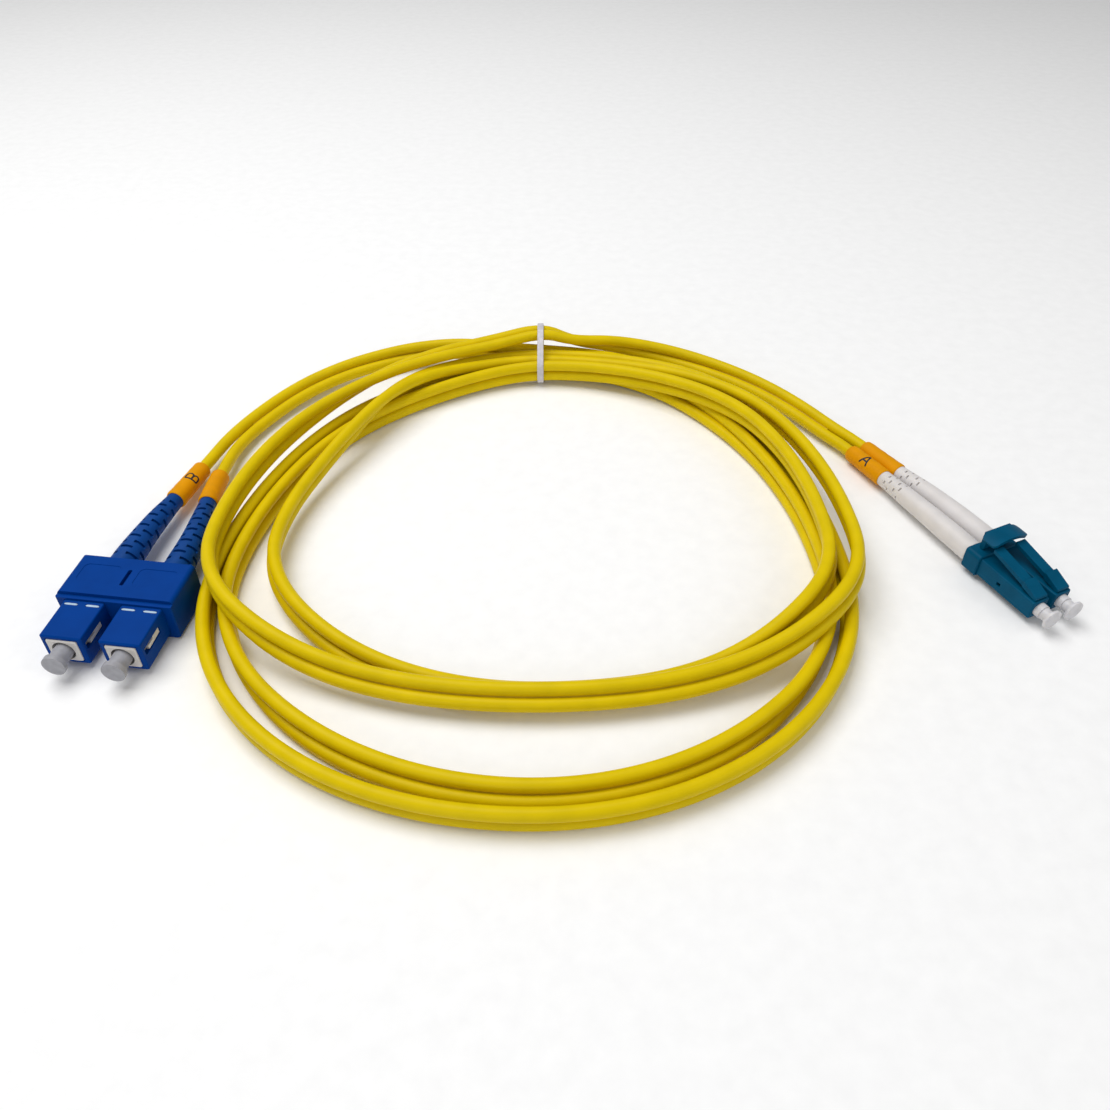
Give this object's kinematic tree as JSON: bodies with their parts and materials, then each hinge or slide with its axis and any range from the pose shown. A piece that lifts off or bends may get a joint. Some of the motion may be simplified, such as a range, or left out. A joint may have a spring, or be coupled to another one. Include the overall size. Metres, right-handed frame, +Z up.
{
  "type": "fibre optic patch cord",
  "caption": "Coiled duplex fibre optic patch cord with a clipped pair of square push-pull plugs on one end, a smaller latched pair on the other, and dust caps.",
  "frame": {"origin": "on the table under the middle of the box round the two connector pairs, which lies inside the coil", "axes": "+Z up from the table, +X from the SC pair towards the LC pair, +Y from the front of the coil towards its tie"},
  "size_m": [0.2193, 0.1637, 0.012],
  "materials": {
    "yellow_jacket": "smooth semi-matt PVC cord jacket",
    "orange_sleeve": "matt shrink sleeve",
    "white_boot": "soft white moulded boot",
    "blue_plastic": "moulded blue plastic, light gloss",
    "blue_boot": "soft blue moulded boot",
    "teal_plastic": "moulded dark teal plastic, light gloss",
    "white_frame": "moulded white plastic",
    "sc_cap": "soft grey translucent plastic",
    "lc_cap": "soft white translucent plastic",
    "nickel": "nickel plated, turned",
    "ceramic": "polished white zirconia ceramic",
    "spring_steel": "drawn spring wire",
    "crimp_metal": "crimped, nickel plated brass",
    "fibre_buffer": "smooth white buffer",
    "tie_plastic": "soft translucent plastic strip"
  },
  "bodies": {
    "base": {"coil": "yellow_jacket", "lc_backbone_a": "white_frame", "lc_backbone_b": "white_frame", "lc_boot_a": "white_boot", "lc_boot_b": "white_boot", "lc_buffered_fibre_a": "fibre_buffer", "lc_buffered_fibre_b": "fibre_buffer", "lc_crimp_sleeve_a": "crimp_metal", "lc_crimp_sleeve_b": "crimp_metal", "lc_duplex_clip": "teal_plastic", "lc_housing_a": "teal_plastic", "lc_housing_b": "teal_plastic", "lc_lead_a": "yellow_jacket", "lc_lead_b": "yellow_jacket", "lc_marker_sleeve_a": "orange_sleeve", "lc_marker_sleeve_b": "orange_sleeve", "lc_spring_a": "spring_steel", "lc_spring_b": "spring_steel", "sc_boot_a": "blue_boot", "sc_boot_b": "blue_boot", "sc_buffered_fibre_a": "fibre_buffer", "sc_buffered_fibre_b": "fibre_buffer", "sc_crimp_sleeve_a": "crimp_metal", "sc_crimp_sleeve_b": "crimp_metal", "sc_lead_a": "yellow_jacket", "sc_lead_b": "yellow_jacket", "sc_marker_sleeve_a": "orange_sleeve", "sc_marker_sleeve_b": "orange_sleeve", "sc_plug_frame_a": "white_frame", "sc_plug_frame_b": "white_frame", "sc_spring_a": "spring_steel", "sc_spring_b": "spring_steel", "sc_stop_ring_a": "nickel", "sc_stop_ring_b": "nickel", "twist_tie": "tie_plastic"},
    "sc_grip": {"sc_outer_housing_a": "blue_plastic", "sc_outer_housing_b": "blue_plastic", "sc_duplex_clip": "blue_plastic"},
    "lc_trigger_wing": {"lc_trigger": "teal_plastic"},
    "sc_ferrule_set_a": {"sc_ferrule_a": "ceramic", "sc_ferrule_flange_a": "nickel"},
    "lc_ferrule_set_a": {"lc_ferrule_a": "ceramic", "lc_ferrule_flange_a": "nickel"},
    "sc_cap_a": {"sc_dust_cap_a": "sc_cap"},
    "lc_cap_a": {"lc_dust_cap_a": "lc_cap"},
    "lc_latch_arm_a": {"lc_latch_a": "teal_plastic"},
    "sc_ferrule_set_b": {"sc_ferrule_b": "ceramic", "sc_ferrule_flange_b": "nickel"},
    "lc_ferrule_set_b": {"lc_ferrule_b": "ceramic", "lc_ferrule_flange_b": "nickel"},
    "sc_cap_b": {"sc_dust_cap_b": "sc_cap"},
    "lc_cap_b": {"lc_dust_cap_b": "lc_cap"},
    "lc_latch_arm_b": {"lc_latch_b": "teal_plastic"}
  },
  "joints": [
    {"name": "sc_grip_slide", "type": "slide", "parent": "base", "child": "sc_grip", "axis": [-0.1357, -0.9907, 0], "range_m": [-0.0015, 0], "stiffness_N_per_m": 400},
    {"name": "sc_ferrule_slide_a", "type": "slide", "parent": "base", "child": "sc_ferrule_set_a", "axis": [-0.1357, -0.9907, 0], "range_m": [-0.002, 0], "stiffness_N_per_m": 1000, "deforming": ["sc_spring_a"]},
    {"name": "sc_cap_slide_a", "type": "slide", "parent": "sc_ferrule_set_a", "child": "sc_cap_a", "axis": [-0.1357, -0.9907, 0], "range_m": [0, 0.01]},
    {"name": "sc_ferrule_slide_b", "type": "slide", "parent": "base", "child": "sc_ferrule_set_b", "axis": [-0.1357, -0.9907, 0], "range_m": [-0.002, 0], "stiffness_N_per_m": 1000, "deforming": ["sc_spring_b"]},
    {"name": "sc_cap_slide_b", "type": "slide", "parent": "sc_ferrule_set_b", "child": "sc_cap_b", "axis": [-0.1357, -0.9907, 0], "range_m": [0, 0.01]},
    {"name": "lc_ferrule_slide_a", "type": "slide", "parent": "base", "child": "lc_ferrule_set_a", "axis": [0.4226, -0.9063, 0], "range_m": [-0.0015, 0], "stiffness_N_per_m": 600, "deforming": ["lc_spring_a"]},
    {"name": "lc_cap_slide_a", "type": "slide", "parent": "lc_ferrule_set_a", "child": "lc_cap_a", "axis": [0.4226, -0.9063, 0], "range_m": [0, 0.008]},
    {"name": "lc_ferrule_slide_b", "type": "slide", "parent": "base", "child": "lc_ferrule_set_b", "axis": [0.4226, -0.9063, 0], "range_m": [-0.0015, 0], "stiffness_N_per_m": 600, "deforming": ["lc_spring_b"]},
    {"name": "lc_cap_slide_b", "type": "slide", "parent": "lc_ferrule_set_b", "child": "lc_cap_b", "axis": [0.4226, -0.9063, 0], "range_m": [0, 0.008]},
    {"name": "lc_trigger_hinge", "type": "hinge", "parent": "base", "child": "lc_trigger_wing", "pos_m": [0.09539, 0.00191, 0.0074], "axis": [0.9063, 0.4226, 0], "range_deg": [0, 25], "stiffness_Nm_per_rad": 0.02},
    {"name": "lc_latch_hinge_a", "type": "hinge", "parent": "base", "child": "lc_latch_arm_a", "pos_m": [0.09979, -0.0149, 0.0067], "axis": [0.9063, 0.4226, 0], "range_deg": [-7, 0], "stiffness_Nm_per_rad": 0.008},
    {"name": "lc_latch_hinge_b", "type": "hinge", "parent": "base", "child": "lc_latch_arm_b", "pos_m": [0.10545, -0.01226, 0.0067], "axis": [0.9063, 0.4226, 0], "range_deg": [-7, 0], "stiffness_Nm_per_rad": 0.008}
  ],
  "couplings": [
    {"joint": "lc_latch_hinge_a", "follows": "lc_trigger_hinge", "ratio": -0.28},
    {"joint": "lc_latch_hinge_b", "follows": "lc_trigger_hinge", "ratio": -0.28}
  ]
}
